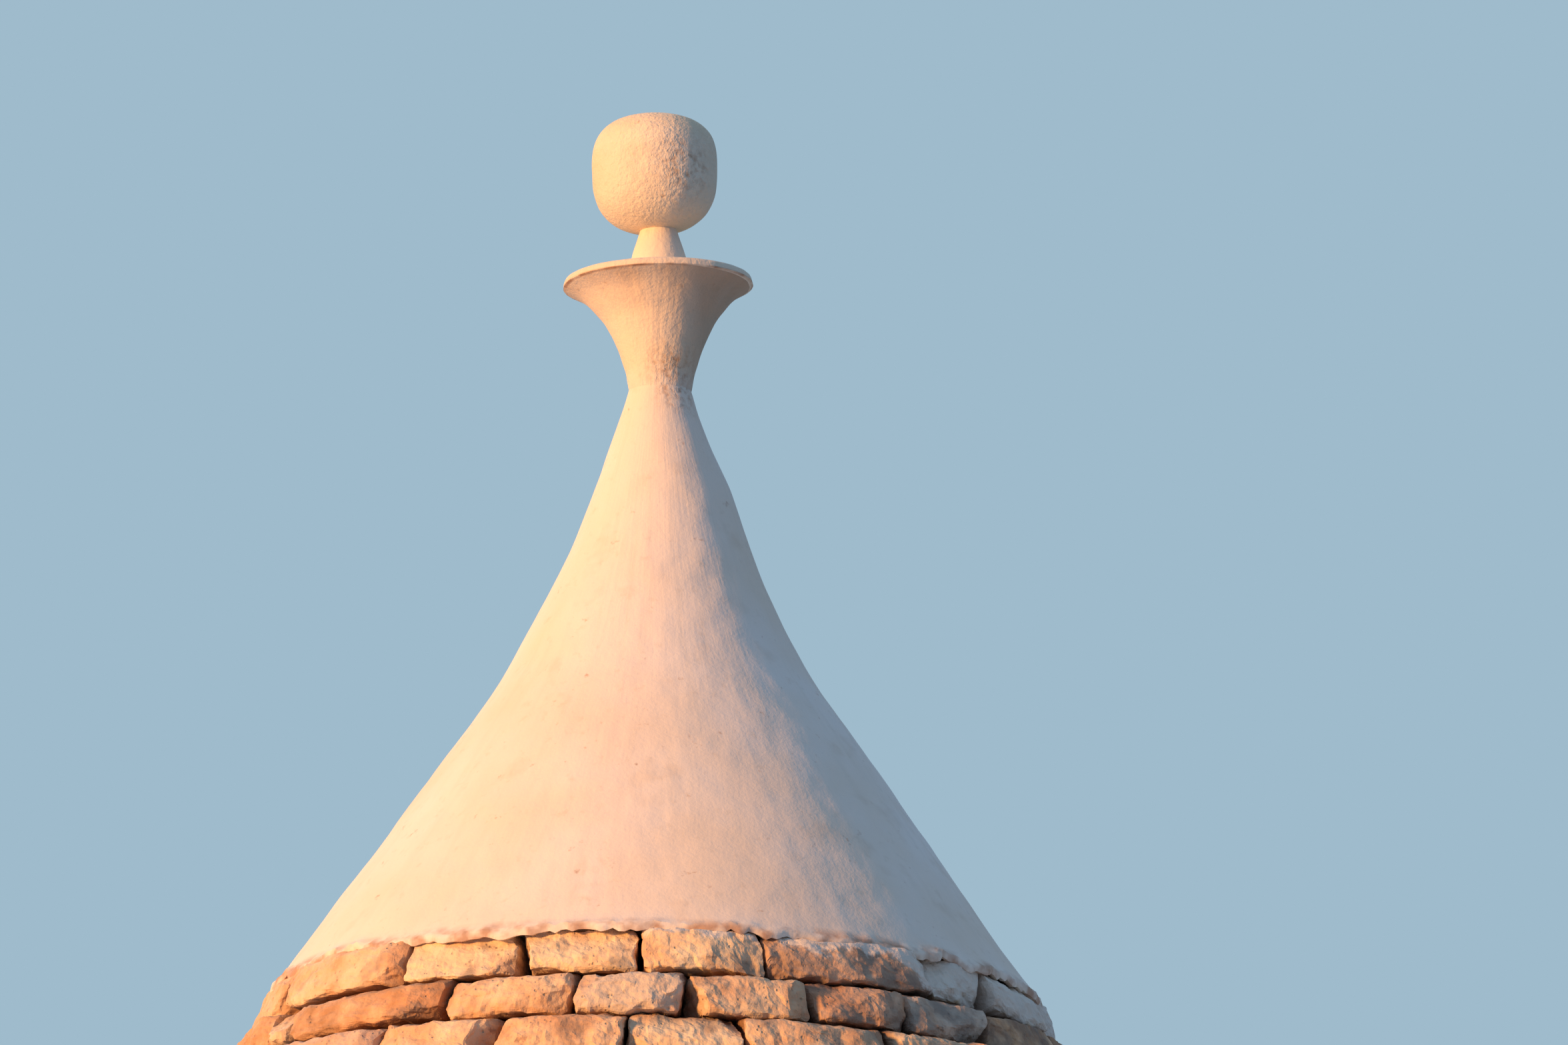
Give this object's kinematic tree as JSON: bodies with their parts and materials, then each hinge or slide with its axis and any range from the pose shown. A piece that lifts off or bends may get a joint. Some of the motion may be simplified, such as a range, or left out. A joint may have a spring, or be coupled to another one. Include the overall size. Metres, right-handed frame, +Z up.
{
  "type": "trullo cone roof",
  "caption": "Conical dry-stone roof with stepped rings of flat slabs over a corbelled vault, topped by a limewashed cone with a bowl-and-ball pinnacle.",
  "frame": {"origin": "on the roof's axis, at the level bed that rests on the wall head", "axes": "+Z up along the axis of the cone; X and Y are alike, because the roof is round"},
  "size_m": [3.9991, 4.0058, 3.6286],
  "materials": {
    "bearing_stone": "rough hewn, matt",
    "slab_stone": "split and weathered, matt",
    "vault_stone": "roughly dressed, matt",
    "rubble": "broken stone, matt",
    "mortared_core": "stones in lime mortar, matt",
    "limewash": "hand-brushed lime coat, matt",
    "limewashed_stone": "limewash over carved stone, matt"
  },
  "bodies": {
    "root": {"springing_course": "bearing_stone", "eaves_course": "slab_stone", "slab_course_01": "slab_stone", "slab_course_02": "slab_stone", "slab_course_03": "slab_stone", "slab_course_04": "slab_stone", "slab_course_05": "slab_stone", "slab_course_06": "slab_stone", "slab_course_07": "slab_stone", "slab_course_08": "slab_stone", "slab_course_09": "slab_stone", "slab_course_10": "slab_stone", "slab_course_11": "slab_stone", "slab_course_12": "slab_stone", "slab_course_13": "slab_stone", "slab_course_14": "slab_stone", "slab_course_15": "slab_stone", "slab_course_16": "slab_stone", "slab_course_17": "slab_stone", "slab_course_18": "slab_stone", "slab_course_19": "slab_stone", "slab_course_20": "slab_stone", "slab_course_21": "slab_stone", "slab_course_22": "slab_stone", "slab_course_23": "slab_stone", "vault_ring_01": "vault_stone", "vault_ring_02": "vault_stone", "vault_ring_03": "vault_stone", "vault_ring_04": "vault_stone", "vault_ring_05": "vault_stone", "vault_ring_06": "vault_stone", "vault_ring_07": "vault_stone", "vault_ring_08": "vault_stone", "vault_ring_09": "vault_stone", "vault_keystone": "vault_stone", "rubble_fill": "rubble", "cone_core": "mortared_core", "lime_cone": "limewash", "pinnacle_bowl": "limewashed_stone", "pinnacle_stem": "limewashed_stone", "pinnacle_ball": "limewashed_stone"}
  },
  "joints": []
}
